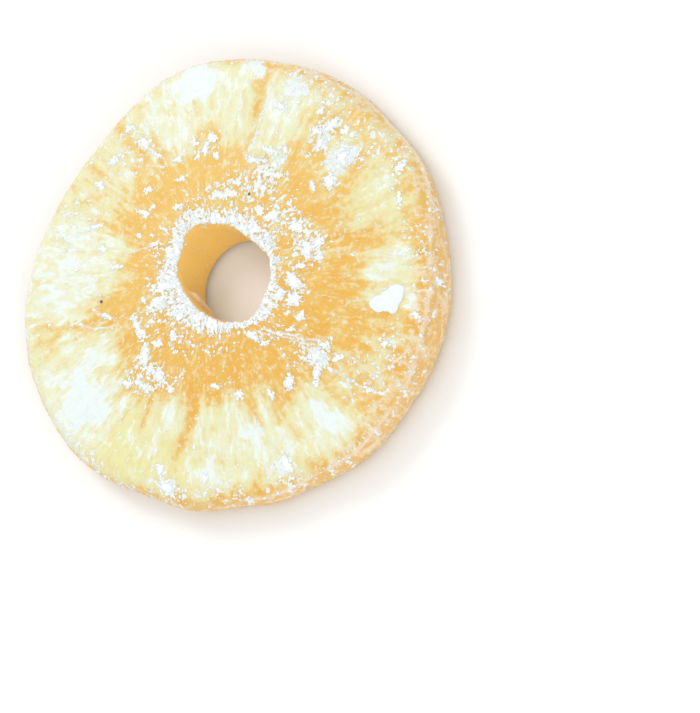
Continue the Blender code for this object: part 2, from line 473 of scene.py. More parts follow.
def section_rays(inner, outer):
    """Radius of the start, and direction, of rays that look out of a section all round.

    They run up the wall of the hole, out over the face, down the edge and back underneath.
    """
    rays = []
    for angle in np.linspace(-0.5 * math.pi, -1.5 * math.pi, HOLE_RAYS, endpoint=False):
        rays.append((inner, math.cos(angle), math.sin(angle)))
    for radius in np.linspace(inner, outer, FACE_RAYS, endpoint=False):
        rays.append((radius, 0.0, 1.0))
    for angle in np.linspace(0.5 * math.pi, -0.5 * math.pi, EDGE_RAYS, endpoint=False):
        rays.append((outer, math.cos(angle), math.sin(angle)))
    for radius in np.linspace(outer, inner, FACE_RAYS, endpoint=False):
        rays.append((radius, 0.0, -1.0))
    return rays


def cast_sections(solid):
    """The solid's sections as arrays of radius and height: one row for each bearing."""
    tree = BVHTree.FromPolygons(
        [vertex.co / MM for vertex in solid.data.vertices],
        [polygon.vertices for polygon in solid.data.polygons],
    )
    low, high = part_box(NODE)
    middle = Vector((0.0, 0.0, 0.4 * high.z / MM))
    rays = section_rays(CORE_RADIUS, 0.86 * high.x / MM)
    sections = np.empty((CAST_TURNS, len(rays), 2))
    for turn in range(CAST_TURNS):
        angle = 2.0 * math.pi * turn / CAST_TURNS
        out = Vector((math.cos(angle), math.sin(angle), 0.0))
        for index, (radius, across, upward) in enumerate(rays):
            way = out * across + Vector((0.0, 0.0, upward))
            hit = tree.ray_cast(middle + out * radius, way)[0]
            sections[turn, index] = hit.dot(out), hit.z
    return sections


def evened(sections):
    """The sections with their points spread evenly along them, but wider apart underneath."""
    even = np.empty((len(sections), SECTION_POINTS, 2))
    for turn, points in enumerate(sections):
        ahead = np.roll(points, -1, axis=0) - points
        lengths = np.hypot(ahead[:, 0], ahead[:, 1])
        underneath = (points[:, 1] < 0.8) & (np.abs(ahead[:, 1]) < 0.3 * lengths)
        lengths *= np.where(underneath, UNDERSIDE_SHARE, 1.0)
        along = np.concatenate([[0.0], np.cumsum(lengths)])
        wanted = np.linspace(0.0, along[-1], SECTION_POINTS, endpoint=False)
        closed = np.vstack([points, points[:1]])
        for axis in (0, 1):
            even[turn, :, axis] = np.interp(wanted, along, closed[:, axis])
    return even


def finer(sections):
    """The sections at TURN_POINTS bearings, with the solid's facets smoothed away."""
    turns = np.arange(TURN_POINTS) * len(sections) / TURN_POINTS
    low = turns.astype(int)
    part = (turns - low)[:, None, None]
    grid = sections[low] * (1.0 - part) + sections[(low + 1) % len(sections)] * part
    return blur(grid, 1.2 * TURN_POINTS / len(sections), 1.6)


class Surface:
    """A closed grid of points round the ring, with its normals, its spacing and its measures.

    A row is one bearing, and runs up the wall of the hole and out over the face. from_lip and
    from_crest are distances along the row, outwards from the hole's upper edge and from the line
    where the face turns down to the outer wall.
    """

    def __init__(self, solid):
        grid = finer(evened(cast_sections(solid)))
        angle = 2.0 * math.pi * np.arange(TURN_POINTS)[:, None] / TURN_POINTS
        self.radius, height = grid[..., 0], grid[..., 1]
        self.points = np.stack(
            [self.radius * np.cos(angle), self.radius * np.sin(angle), height], axis=-1
        )
        self.bearing = np.degrees(angle) + np.zeros(self.radius.shape)
        turn = np.radians(self.bearing[:, :1])
        self.inner = INNER_RADIUS + INNER_SHIFT * np.sin(turn)
        self.inner += INNER_OVAL * np.cos(2.0 * (turn - math.radians(INNER_BEARING)))
        self.span = self.radius.max(axis=1)[:, None] - self.inner
        self.reach = (self.radius - self.inner) / self.span
        self.measure()
        self.upward = self.normal[..., 2]
        self.face = ease(0.15, 0.55, self.upward)
        along = np.cumsum(self.step_gap, axis=1)
        lip = np.argmax(self.upward > 0.66, axis=1)
        bearings, upwards = np.array(CREST_UPWARD).T
        upward = np.interp(degrees_between(self.bearing[:, :1], 0.0), bearings, upwards, period=360.0)
        crest = SECTION_POINTS - 1 - np.argmax(self.upward[:, ::-1] > upward, axis=1)
        rows = np.arange(TURN_POINTS)
        self.lip = lip
        self.from_lip = along - smoothed(along[rows, lip], 6.0)[:, None]
        self.from_crest = along - smoothed(along[rows, crest], 9.0)[:, None]

    def measure(self):
        """Works out the normals, and how far apart the points are along and across the rows."""
        turn = (np.roll(self.points, -1, axis=0) - np.roll(self.points, 1, axis=0)) / 2.0
        step = (np.roll(self.points, -1, axis=1) - np.roll(self.points, 1, axis=1)) / 2.0
        self.turn_gap = np.linalg.norm(turn, axis=-1)
        self.step_gap = np.linalg.norm(step, axis=-1)
        normal = np.cross(step, turn)
        self.area = np.linalg.norm(normal, axis=-1)
        self.normal = normal / self.area[..., None]

    def raise_by(self, height):
        self.points = self.points + self.normal * height[..., None]
        self.points[..., 2] = np.maximum(self.points[..., 2], 0.0)
        self.measure()

    def read(self, grid, turns, steps):
        """A grid's values at places that lie between its points."""
        rows, columns = grid.shape[:2]
        low_turn, low_step = np.floor(turns).astype(int), np.floor(steps).astype(int)
        part_turn, part_step = turns - low_turn, steps - low_step
        value = 0.0
        for row, row_weight in ((low_turn, 1.0 - part_turn), (low_turn + 1, part_turn)):
            for column, column_weight in ((low_step, 1.0 - part_step), (low_step + 1, part_step)):
                weight = row_weight * column_weight
                found = grid[row % rows, column % columns]
                value = value + (weight[:, None] if found.ndim == 2 else weight) * found
        return value

    def place(self, bearing, reach):
        """Where on the grid a bearing and a reach of the upper face lie."""
        turn = bearing % 360.0 / 360.0 * TURN_POINTS
        row = int(turn) % TURN_POINTS
        last = np.argmax(self.radius[row]) + 1
        first = self.lip[row]
        step = np.interp(reach, self.reach[row, first:last], np.arange(first, last))
        return turn, step

    def fibres(self, around, along):
        """Where to read noise that is drawn out along the fibres, which run out from the core."""
        angle = np.radians(self.bearing)
        outward = self.radius + 0.4 * self.points[..., 2]
        return np.stack(
            [around * np.cos(angle), around * np.sin(angle), along * outward], axis=-1
        )

    def spot(self, shift, bearing, reach, long, wide, lean):
        """Distance from the middle of a leaning ellipse, as a share of its size."""
        across = self.radius * np.radians(degrees_between(self.bearing, bearing)) + shift[0]
        along = (self.reach - reach) * self.span + shift[1]
        cosine, sine = math.cos(math.radians(lean)), math.sin(math.radians(lean))
        return np.hypot(
            (along * cosine + across * sine) / long, (across * cosine - along * sine) / wide
        )

    def line(self, shift, inner, start, outer, end, half):
        """How near each place is to a line between two bearings and reaches, from 0 to 1."""
        part = (self.reach - start) / (end - start)
        centre = inner + degrees_between(outer, inner) * np.clip(part, -0.2, 1.2)
        across = self.radius * np.radians(degrees_between(self.bearing, centre)) + shift
        slant = self.radius * math.radians(degrees_between(outer, inner)) / self.span / (end - start)
        ends = ease(-0.08, 0.12, part) * (1.0 - ease(0.88, 1.08, part))
        return np.exp(-(across**2) / (half**2 * (1.0 + slant**2))) * ends


def wobble(surface, size, amount, seed):
    """A pair of smooth random shifts, in millimetres, that give what is placed a natural edge."""
    where = surface.points / size
    return amount * octaves(where, seed, 2), amount * octaves(where, seed + 5, 2)


def cell_fields(surface):
    """How pale and how yellow the flesh is, from 0 in the amber round the core to 1."""
    coarse = noise(surface.fibres(4.0, 0.12), 11)
    fibres = octaves(surface.fibres(13.0, 0.12), 12, 2, 0.6)
    lumps = octaves(surface.points / 4.0, 15, 2)
    bearing = surface.bearing + 2.5 * coarse + 1.5 * lumps
    reach = surface.reach + 0.06 * fibres + 0.05 * lumps
    pale = np.zeros(surface.reach.shape)
    yellow = np.full(surface.reach.shape, 0.4e-2)
    total = np.full(surface.reach.shape, 1e-2)
    for centre, half, inner, outer, amount, tint in CELLS:
        across = np.abs(degrees_between(bearing, centre)) / half
        along = ease(inner - 0.11, inner + 0.14, reach) * (1.0 - ease(outer - 0.10, outer + 0.08, reach))
        here = (1.0 - ease(0.45, 1.55, across)) * along
        pale = 1.0 - (1.0 - pale) * (1.0 - amount * here)
        yellow += tint * here
        total += here
    background = 0.30 * ease(0.38, 0.75, surface.reach)
    pale = np.maximum(pale, background)
    side = np.cos(np.radians(surface.bearing))
    pale *= 1.0 - (0.45 + 0.4 * side) * ease(-4.2, 0.4, surface.from_crest)
    pale *= ease(-0.4, 0.2, surface.upward)
    return np.clip(pale, 0.0, 1.0), np.clip(yellow / total, 0.0, 1.0)


def amber_field(surface):
    """Where the flesh is a deeper amber: between the cells, and more on the +X and -Y sides."""
    wander = 0.5 * noise(surface.points / 3.0, 41)
    side = np.cos(np.radians(surface.bearing + 70.0))
    amber = 0.45 + 0.25 * side + 0.30 * octaves(surface.fibres(7.0, 0.2), 43, 2)
    amber += 0.25 * octaves(surface.points / 3.0, 45, 2)
    fibre = np.zeros(surface.reach.shape)
    for inner, start, outer, end, half, strength in FIBRES:
        here = surface.line(wander, inner, start, outer, end, half)
        fibre = np.maximum(fibre, strength * here)
    return np.clip(amber, 0.0, 1.0), fibre * (0.8 + 0.4 * noise(surface.fibres(40.0, 0.3), 47))


def veil_field(surface):
    shift = wobble(surface, 3.2, 2.2, 51)
    rag = octaves(surface.fibres(16.0, 0.22), 57, 3, 0.7) + 0.7 * octaves(surface.points / 1.6, 60, 2)
    veil = np.zeros(surface.reach.shape)
    for bearing, reach, long, wide, lean, strength in VEILS:
        away = surface.spot(shift, bearing, reach, long, wide, lean) + 0.30 * rag
        veil = np.maximum(veil, strength * (1.0 - ease(0.45, 1.35, away)))
    return veil * surface.face


def sugar_share(surface):
    """The share of the surface that sugar covers at each place, from 0 to 1."""
    shift = wobble(surface, 1.0, 0.55, 61)
    clump = np.zeros(surface.reach.shape)
    for bearing, reach, long, wide, lean in CLUMPS:
        away = surface.spot(shift, bearing, reach, long, wide, lean)
        clump = np.maximum(clump, 1.0 - 0.8 * ease(0.7, 1.25, away) - 0.2 * ease(1.1, 2.2, away))
    rag = octaves(surface.points / 1.2, 67, 3, 0.7)
    jags = noise(surface.fibres(3.0, 0.0), 71)
    bearings, reaches = np.array(LIP_CRUST).T
    outer = np.interp(degrees_between(surface.bearing, 0.0), bearings, reaches, period=360.0)
    out = (surface.reach - outer) * surface.span - 0.6 * jags - 1.0 * rag
    lip = 0.92 - 0.24 * ease(0.3, 1.3, surface.from_lip + 0.6 * rag)
    lip = lip - 0.46 * ease(-0.9, 0.3, out) - 0.30 * ease(0.3, 4.0, out)
    lip *= ease(-0.5, 0.0, surface.from_lip) * ease(0.0, 0.4, surface.upward)
    shift = wobble(surface, 4.0, 2.0, 63)
    drift = 0.025 + 0.03 * noise(surface.points / 5.0, 75)
    for bearing, reach, long, wide, lean, share in DRIFTS:
        away = surface.spot(shift, bearing, reach, long, wide, lean)
        drift = np.maximum(drift, share * (1.0 - ease(0.4, 1.3, away)))
    edge = 0.20 * np.exp(-((surface.from_crest / 1.2) ** 2)) + 0.08 * ease(0.0, 1.0, surface.from_crest)
    share = np.maximum(np.maximum(clump, drift) * surface.face, np.maximum(lip, edge))
    return np.clip(share, 0.0, 1.0)


def sugar_crust(surface, share):
    """Height of the crust, as a share of its full height: patches that cover the share given."""
    fleck = octaves(surface.points / 0.9, 73, 2, 0.6)
    return ease(-0.10, 0.15, share - evenly(fleck))


def ridge_field(surface, lines, seed):
    """Height or depth of a list of creases or ridges."""
    wander = 0.35 * noise(surface.points / 2.0, seed)
    height = np.zeros(surface.reach.shape)
    for inner, start, outer, end, half, most in lines:
        height = np.maximum(height, most * surface.line(wander, inner, start, outer, end, half))
    return height * surface.face


def crest_field(surface):
    """The thin raised line where the face turns down to the outer wall, on the +X side."""
    wander = 0.5 * octaves(surface.fibres(7.0, 0.0), 81, 3)
    turned = degrees_between(surface.bearing, 36.0)
    inwards = 0.45 * np.exp(-((turned / 22.0) ** 2))
    line = np.exp(-(((surface.from_crest + inwards + wander) / 0.36) ** 2))
    side = 1.0 - ease(70.0, 95.0, np.abs(degrees_between(surface.bearing, 0.0)))
    broken = 0.2 + 0.8 * ease(-0.4, 0.2, noise(surface.fibres(9.0, 0.0), 85))
    broken = np.maximum(0.7 * broken, np.exp(-((turned / 26.0) ** 2)))
    return line * side * broken


def flap_field(surface):
    """A loose strip of flesh on the wall of the hole, from its rim down to its foot."""
    height = surface.points[..., 2]
    part = (FLAP_TOP - height) / (FLAP_TOP - FLAP_FOOT)
    centre = FLAP_BEARINGS[0] + (FLAP_BEARINGS[1] - FLAP_BEARINGS[0]) * part
    across = surface.radius * np.radians(degrees_between(surface.bearing, centre))
    across += 0.35 * noise(surface.points / 1.5, 121)
    ends = ease(-0.15, 0.2, part) * (1.0 - ease(0.8, 1.1, part))
    on_wall = 1.0 - ease(-0.4, 0.2, surface.from_lip)
    return np.exp(-((across / FLAP_HALF) ** 4)) * ends * on_wall


def relief(surface, fields):
    """Height of the fine surface over the smooth one."""
    outward = ease(0.10, 0.45, surface.reach)
    fibres = octaves(surface.fibres(22.0, 0.12), 91, 3, 0.6)
    lumps = octaves(surface.points / 5.5, 94, 3)
    pits = octaves(surface.points / 1.2, 97, 2)
    grit = octaves(surface.points / 0.55, 101, 2, 0.7)
    height = 0.15 * lumps + 0.06 * fibres * outward + 0.035 * pits - 0.22 * surface.face
    height += 0.10 * fields["pale"] * (0.6 + fibres)
    rugged = 0.20 + 0.15 * np.cos(np.radians(surface.bearing + 40.0))
    height += rugged * octaves(surface.points / 1.5, 103, 3) * ease(0.0, 1.2, surface.from_crest)
    height += 0.75 * fields["flap"]
    height -= fields["crease"]
    height += fields["ridge"] + 0.26 * fields["crest"]
    height += sugar_crust(surface, fields["sugar"]) * (0.08 + 0.05 * grit)
    height += fields["veil"] * (0.04 + 0.03 * grit)
    smooth_wall = ease(-0.2, 0.8, surface.from_lip)
    height *= 0.35 + 0.65 * np.maximum(smooth_wall, fields["flap"])
    nicks = octaves(surface.fibres(4.5, 0.0), 109, 3, 0.8)
    return height + 0.40 * nicks * np.exp(-((surface.from_lip / 0.8) ** 2))


def surface_fields(surface):
    pale, yellow = cell_fields(surface)
    amber, fibre = amber_field(surface)
    fields = {
        "pale": pale * (1.0 - 0.85 * np.clip(fibre, 0.0, 1.0)),
        "yellow": yellow,
        "amber": np.clip(amber + fibre, 0.0, 1.0),
        "veil": veil_field(surface),
        "sugar": sugar_share(surface),
        "crease": ridge_field(surface, CREASES, 105),
        "ridge": ridge_field(surface, RIDGES, 107),
        "crest": crest_field(surface),
        "flap": flap_field(surface),
    }
    # Sugar white along the ridges: partly sugar crust, partly a painted highlight where the ridges catch
    # the light.
    fields["sugar"] = np.maximum(fields["sugar"], 0.55 * np.clip(fields["ridge"] / 0.18, 0.0, 1.0))
    side = ease(-0.1, 0.6, np.cos(np.radians(surface.bearing - 15.0)))
    near_rim = ease(-5.5, -1.5, surface.from_crest) * (1.0 - ease(0.5, 1.5, surface.from_crest))
    fields["rim"] = 0.62 * side * near_rim
    fields["outer_wall"] = ease(-0.4, 1.2, surface.from_crest) * ease(-0.8, -0.2, surface.upward)
    fields["inner_wall"] = (1.0 - ease(-0.5, 0.1, surface.from_lip)) * ease(-0.9, -0.3, surface.upward)
    return fields


def grid_mesh(name, surface, fields):
    turns, steps = surface.points.shape[:2]
    row = np.arange(turns)[:, None] * steps
    next_row = (np.arange(turns)[:, None] + 1) % turns * steps
    column = np.arange(steps)[None, :]
    next_column = (column + 1) % steps
    corners = [row + column, row + next_column, next_row + next_column, next_row + column]
    mesh = mesh_from(name, surface.points.reshape(-1, 3), np.stack(corners, axis=-1).reshape(-1, 4))
    for field, values in fields.items():
        attribute = mesh.attributes.new(field, "FLOAT", "POINT")
        attribute.data.foreach_set("value", values.astype(np.float32).ravel())
    angle = np.radians(surface.bearing)
    polar = np.stack([np.cos(angle), np.sin(angle), surface.radius / 10.0], axis=-1)
    attribute = mesh.attributes.new("polar", "FLOAT_VECTOR", "POINT")
    attribute.data.foreach_set("vector", polar.astype(np.float32).ravel())
    mesh.shade_smooth()
    return mesh


def mesh_from(name, points, faces):
    """A mesh from arrays of points in millimetres and of faces that all have as many corners."""
    mesh = bpy.data.meshes.new(name)
    count, corners = faces.shape
    mesh.vertices.add(len(points))
    mesh.vertices.foreach_set("co", (points * MM).astype(np.float32).ravel())
    mesh.loops.add(count * corners)
    mesh.loops.foreach_set("vertex_index", faces.astype(np.int32).ravel())
    mesh.polygons.add(count)
    mesh.polygons.foreach_set("loop_start", np.arange(0, count * corners, corners, dtype=np.int32))
    mesh.update(calc_edges=True)
    mesh.validate()
    return mesh


def add_piece(name, mesh, material):
    piece = bpy.data.objects.new(name, mesh)
    bpy.context.scene.collection.objects.link(piece)
    mesh.materials.append(material)
    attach(piece, "root")
    return piece


# Loose sugar.


def solid_shape(make, **settings):
    """Points and faces of one of Blender's primitives."""
    shape = bmesh.new()
    make(shape, **settings)
    shape.verts.ensure_lookup_table()
    points = np.array([vertex.co for vertex in shape.verts])
    faces = np.array([[vertex.index for vertex in face.verts] for face in shape.faces])
    shape.free()
    return points, faces


def random_turns(random, count):
    """Random rotation matrices, from random unit quaternions."""
    quaternion = random.normal(size=(4, count))
    w, x, y, z = quaternion / np.linalg.norm(quaternion, axis=0)
    rows = (
        (1 - 2 * (y * y + z * z), 2 * (x * y - z * w), 2 * (x * z + y * w)),
        (2 * (x * y + z * w), 1 - 2 * (x * x + z * z), 2 * (y * z - x * w)),
        (2 * (x * z - y * w), 2 * (y * z + x * w), 1 - 2 * (x * x + y * y)),
    )
    return np.stack([np.stack(row, axis=-1) for row in rows], axis=1)


def choose_places(surface, random, density, count):
    """Places on the grid, picked with a chance that follows the density over the area."""
    chance = (density * surface.area).ravel()
    picked = random.choice(chance.size, size=count, p=chance / chance.sum())
    turns, steps = np.unravel_index(picked, density.shape)
    return turns + random.random(count), steps + random.random(count)


def grain_mesh(name, surface, random, shape, places, sizes, rough, flat, sunk):
    """Copies of a shape knocked out of true, laid flat on the surface and partly sunk in it."""
    turns, steps = places
    shape_points, shape_faces = shape
    count, corners = len(turns), len(shape_points)
    normals = surface.read(surface.normal, turns, steps)
    normals /= np.linalg.norm(normals, axis=1)[:, None]
    offsets = shape_points[None] * (1.0 + rough * random.normal(size=(count, corners, 1))).clip(0.5, 1.5)
    offsets = offsets * random.uniform(0.7, 1.3, size=(count, 1, 3))
    offsets = np.einsum("nij,nkj->nki", random_turns(random, count), offsets)
    offsets *= sizes[:, None, None] / 2.0
    tall = np.einsum("nki,ni->nk", offsets, normals)
    offsets -= (1.0 - flat) * tall[..., None] * normals[:, None]
    lift = sizes * flat * (0.5 - sunk)
    points = surface.read(surface.points, turns, steps) + normals * lift[:, None]
    points = points[:, None] + offsets
    points[..., 2] = np.maximum(points[..., 2], 0.0)
    faces = shape_faces[None] + corners * np.arange(count)[:, None, None]
    return mesh_from(name, points.reshape(-1, 3), faces.reshape(-1, shape_faces.shape[1]))


def ragged(random, count, angle):
    """Radii of ragged round outlines, about 1."""
    lobes = np.zeros((count, len(angle)))
    for wave in (2, 3, 4, 5, 7):
        size = 0.24 * random.normal(size=(count, 1)) / wave**0.5
        lobes += size * np.cos(wave * angle + random.uniform(0.0, 2.0 * math.pi, size=(count, 1)))
    return (1.0 + lobes).clip(0.35, 1.7)


def chip_faces(rings, spokes):
    """Triangles of one chip: its top, its side and its foot, which each end in a middle point."""
    spoke = np.arange(spokes)
    beside = (spoke + 1) % spokes
    last = 1 + rings * spokes
    faces = [np.stack([np.zeros(spokes, int), 1 + spoke, 1 + beside], axis=-1)]
    for ring in range(rings - 1):
        start, end = 1 + ring * spokes, 1 + (ring + 1) * spokes
        faces.append(np.stack([start + spoke, end + spoke, end + beside], axis=-1))
        faces.append(np.stack([start + spoke, end + beside, start + beside], axis=-1))
    foot = 1 + (rings - 1) * spokes
    faces.append(np.stack([foot + spoke, np.full(spokes, last), foot + beside], axis=-1))
    return np.concatenate(faces)


def chip_mesh(name, surface, random, chips, rings, spokes):
    """Flat ragged chips, which follow the surface that they lie on and are partly sunk in it.

    A chip is its place on the grid, its half length, its half width, its lean and its thickness.
    """
    turns, steps, long, wide, lean, thick = (value[:, None, None] for value in chips)
    count = len(turns)
    angle = np.linspace(0.0, 2.0 * math.pi, spokes, endpoint=False)
    outline = ragged(random, count, angle)[:, None, :]
    share = np.append(np.linspace(1.0 / (rings - 1), 1.0, rings - 1), 0.9)[None, :, None]
    rise = np.append(1.0 - 0.40 * np.linspace(1.0 / (rings - 1), 1.0, rings - 1) ** 4, -1.0)
    u = (share * outline * np.cos(angle) * long).reshape(count, -1)
    v = (share * outline * np.sin(angle) * wide).reshape(count, -1)
    rise = np.repeat(rise, spokes)[None] * (1.0 + 0.18 * random.normal(size=u.shape))
    middle = np.zeros((count, 1))
    u, v = np.hstack([middle, u, middle]), np.hstack([middle, v, middle])
    rise = np.hstack([middle + 1.0, rise, middle - 1.0]) * thick[:, 0]
    cosine, sine = np.cos(lean[:, 0]), np.sin(lean[:, 0])
    row = turns[:, 0, 0].astype(int) % TURN_POINTS
    column = steps[:, 0, 0].astype(int) % SECTION_POINTS
    turn_gap, step_gap = surface.turn_gap[row, column][:, None], surface.step_gap[row, column][:, None]
    where_turn = (turns[:, 0] + (u * sine + v * cosine) / turn_gap).ravel()
    where_step = (steps[:, 0] + (u * cosine - v * sine) / step_gap).ravel()
    base = surface.read(surface.points, where_turn, where_step)
    normal = surface.read(surface.normal, where_turn, where_step)
    points = base + normal * rise.ravel()[:, None]
    points[:, 2] = np.maximum(points[:, 2], 0.0)
    faces = chip_faces(rings, spokes)[None] + u.shape[1] * np.arange(count)[:, None, None]
    mesh = mesh_from(name, points, faces.reshape(-1, 3))
    mesh.shade_smooth()
    return mesh


def clump_chips(surface, random):
    """Chips that build up each clump: a broad one in its middle, and smaller ones about it."""
    chips = []
    for bearing, reach, long, wide, lean in CLUMPS:
        turn, step = surface.place(bearing, reach)
        row, column = int(turn) % TURN_POINTS, int(step)
        lean = math.radians(lean)
        chips.append((turn, step, 0.62 * long, 0.62 * wide, lean, 0.12))
        for _ in range(8 + int(8.0 * long * wide)):
            distance, angle = random.uniform(0.35, 1.35), random.uniform(0.0, 2.0 * math.pi)
            u, v = distance * math.cos(angle) * long, distance * math.sin(angle) * wide
            across = u * math.sin(lean) + v * math.cos(lean)
            along = u * math.cos(lean) - v * math.sin(lean)
            size = random.uniform(0.12, 0.40)
            place = (
                turn + across / surface.turn_gap[row, column],
                step + along / surface.step_gap[row, column],
            )
            shape = (size, size * random.uniform(0.4, 0.9), random.normal(0.0, 0.8))
            chips.append((*place, *shape, random.uniform(0.07, 0.13)))
    return np.array(chips).T


def strewn_chips(surface, random, density, count, low, high):
    """Chips of random sizes, strewn over the surface as a density says."""
    turns, steps = choose_places(surface, random, density, count)
    sizes = low + (high - low) * random.random(count) ** 2
    wide = sizes * random.uniform(0.25, 0.8, size=count)
    lean = random.normal(0.0, 0.7, size=count)
    return np.array([turns, steps, sizes, wide, lean, 0.04 + 0.08 * sizes])


def flake_mesh(name, surface):
    """One broad flat flake, which follows the surface that it lies on."""
    turn, step = surface.place(*FLAKE_PLACE)
    row, column = int(turn) % TURN_POINTS, int(step)
    outline = np.array(FLAKE_OUTLINE)
    angles = np.arctan2(outline[:, 1], outline[:, 0])
    order = np.argsort(angles)
    radii = np.hypot(outline[:, 0], outline[:, 1])
    spokes = np.linspace(-math.pi, math.pi, FLAKE_SPOKES, endpoint=False)
    edge = np.interp(spokes, angles[order], radii[order], period=2.0 * math.pi)
    rings = np.concatenate([np.linspace(0.08, 1.0, FLAKE_RINGS), np.linspace(1.0, 0.08, FLAKE_RINGS)])
    above = np.arange(len(rings)) < FLAKE_RINGS
    across = rings[:, None] * edge * np.cos(spokes)
    outward = rings[:, None] * edge * np.sin(spokes)
    chipped = octaves(np.stack([across * 1.1, outward * 1.1, 0.0 * across], axis=-1), 111, 3, 0.8)
    across, outward = across * (1.0 + 0.07 * chipped), outward * (1.0 + 0.07 * chipped)
    turns = turn + across / surface.turn_gap[row, column]
    steps = step + outward / surface.step_gap[row, column]
    flat = turns.ravel(), steps.ravel()
    base = surface.read(surface.points, *flat).reshape(*across.shape, 3)
    normal = surface.read(surface.normal, *flat).reshape(*across.shape, 3)
    bumps = octaves(np.stack([across / 0.9, outward / 0.9, 0.0 * across], axis=-1), 113, 3, 0.6)
    top = 0.17 + 0.07 * bumps - 0.08 * rings[:, None] ** 8
    height = np.where(above[:, None], top, -0.25)
    points = (base + normal * height[..., None]).reshape(-1, 3)
    ring = np.arange(len(rings) - 1)[:, None] * FLAKE_SPOKES
    spoke = np.arange(FLAKE_SPOKES)[None, :]
    beside = (spoke + 1) % FLAKE_SPOKES
    corners = [ring + spoke, ring + FLAKE_SPOKES + spoke, ring + FLAKE_SPOKES + beside, ring + beside]
    faces = np.stack(corners, axis=-1).reshape(-1, 4)
    mesh = mesh_from(name, points, faces)
    return capped(mesh)


def capped(mesh):
    """The mesh with its open rings filled and its faces turned outwards."""
    shape = bmesh.new()
    shape.from_mesh(mesh)
    bmesh.ops.holes_fill(shape, edges=shape.edges, sides=0)
    bmesh.ops.recalc_face_normals(shape, faces=shape.faces)
    shape.to_mesh(mesh)
    shape.free()
    mesh.shade_smooth()
    return mesh


def add_sugar(surface, fields):
    random = np.random.default_rng(7)
    look = sugar_material("sugar_look", (0.81, 0.86, 0.87), (0.83, 0.85, 0.83))
    flake_look = sugar_material("flake_look", (0.70, 0.765, 0.775), (0.73, 0.775, 0.765))
    cube = solid_shape(bmesh.ops.create_cube, size=1.5)
    share = fields["sugar"]

    on_lip = ease(0.40, 0.80, share) * ease(0.2, 0.6, surface.upward)
    on_lip *= 1.0 - ease(0.2, 0.35, surface.reach)
    along_lip = strewn_chips(surface, random, on_lip, 420, 0.18, 0.70)
    chips = np.concatenate([clump_chips(surface, random), along_lip], axis=1)
    add_piece("sugar_clumps", chip_mesh("sugar_clumps", surface, random, chips, 4, 15), look)

    density = (share**1.6 + 0.002) * surface.face
    chips = strewn_chips(surface, random, density, 2600, 0.12, 0.44)
    add_piece("sugar_flecks", chip_mesh("sugar_flecks", surface, random, chips, 2, 8), look)

    density = share**1.8 + 0.001
    grains = choose_places(surface, random, density, GRAINS)
    sizes = random.uniform(0.14, 0.30, size=GRAINS)
    grain = grain_mesh("sugar_grains", surface, random, cube, grains, sizes, 0.15, 0.4, 0.35)
    add_piece("sugar_grains", grain, look)
    add_piece("sugar_flake", flake_mesh("sugar_flake", surface), flake_look)


def add_specks(surface):
    """Two dark specks, as flakes of skin."""
    random = np.random.default_rng(3)
    lump = solid_shape(bmesh.ops.create_icosphere, subdivisions=2, radius=1.0)
    places = np.array([surface.place(bearing, reach) for bearing, reach in SPECKS])
    sizes = np.full(len(SPECKS), 0.55)
    mesh = grain_mesh(
        "dark_specks", surface, random, lump, (places[:, 0], places[:, 1]), sizes, 0.12, 0.5, 0.3
    )
    mesh.shade_smooth()
    add_piece("dark_specks", mesh, speck_material())


# Materials.


class Nodes:
    """A short way to write a node tree."""

    def __init__(self, name):
        self.material = bpy.data.materials.new(name)
        self.material.use_nodes = True
        self.tree = self.material.node_tree
        self.shader = self.tree.nodes["Principled BSDF"]

    def add(self, kind, **settings):
        node = self.tree.nodes.new(kind)
        for key, value in settings.items():
            setattr(node, key, value)
        return node

    def join(self, source, target):
        self.tree.links.new(source, target)

    def field(self, name, vector=False):
        node = self.add("ShaderNodeAttribute", attribute_name=name)
        return node.outputs["Vector" if vector else "Fac"]

    def math(self, operation, *values, clamp=False):
        node = self.add("ShaderNodeMath", operation=operation, use_clamp=clamp)
        for socket, value in zip(node.inputs, values):
            if isinstance(value, (int, float)):
                socket.default_value = value
            else:
                self.join(value, socket)
        return node.outputs[0]

    def around(self, value, amount, base=0.0):
        """Base plus the amount by which a noise is over or under its middle."""
        centred = self.math("SUBTRACT", value, 0.5)
        return self.math("MULTIPLY_ADD", centred, amount, base)

    def smooth(self, value, low, high, to_low=0.0, to_high=1.0):
        node = self.add("ShaderNodeMapRange", interpolation_type="SMOOTHSTEP")
        self.join(value, node.inputs["Value"])
        for key, number in (
            ("From Min", low),
            ("From Max", high),
            ("To Min", to_low),
            ("To Max", to_high),
        ):
            node.inputs[key].default_value = number
        return node.outputs["Result"]

    def mix(self, factor, first, second):
        node = self.add("ShaderNodeMix", data_type="RGBA")
        for socket, value in ((node.inputs[0], factor), (node.inputs[6], first), (node.inputs[7], second)):
            if isinstance(value, (int, float)):
                socket.default_value = value
            elif isinstance(value, tuple):
                socket.default_value = (*value, 1.0)
            else:
                self.join(value, socket)
        return node.outputs[2]

    def scaled(self, vector, scale):
        node = self.add("ShaderNodeVectorMath", operation="MULTIPLY")
        self.join(vector, node.inputs[0])
        node.inputs[1].default_value = scale
        return node.outputs[0]

    def noise(self, vector, scale, detail=3.0, rough=0.6):
        node = self.add("ShaderNodeTexNoise")
        self.join(vector, node.inputs["Vector"])
        node.inputs["Scale"].default_value = scale
        node.inputs["Detail"].default_value = detail
        node.inputs["Roughness"].default_value = rough
        return node.outputs["Fac"]

    def bump(self, height, distance, strength=1.0, normal=None):
        node = self.add("ShaderNodeBump")
        self.join(height, node.inputs["Height"])
        node.inputs["Distance"].default_value = distance
        node.inputs["Strength"].default_value = strength
        if normal is not None:
            self.join(normal, node.inputs["Normal"])
        return node.outputs["Normal"]


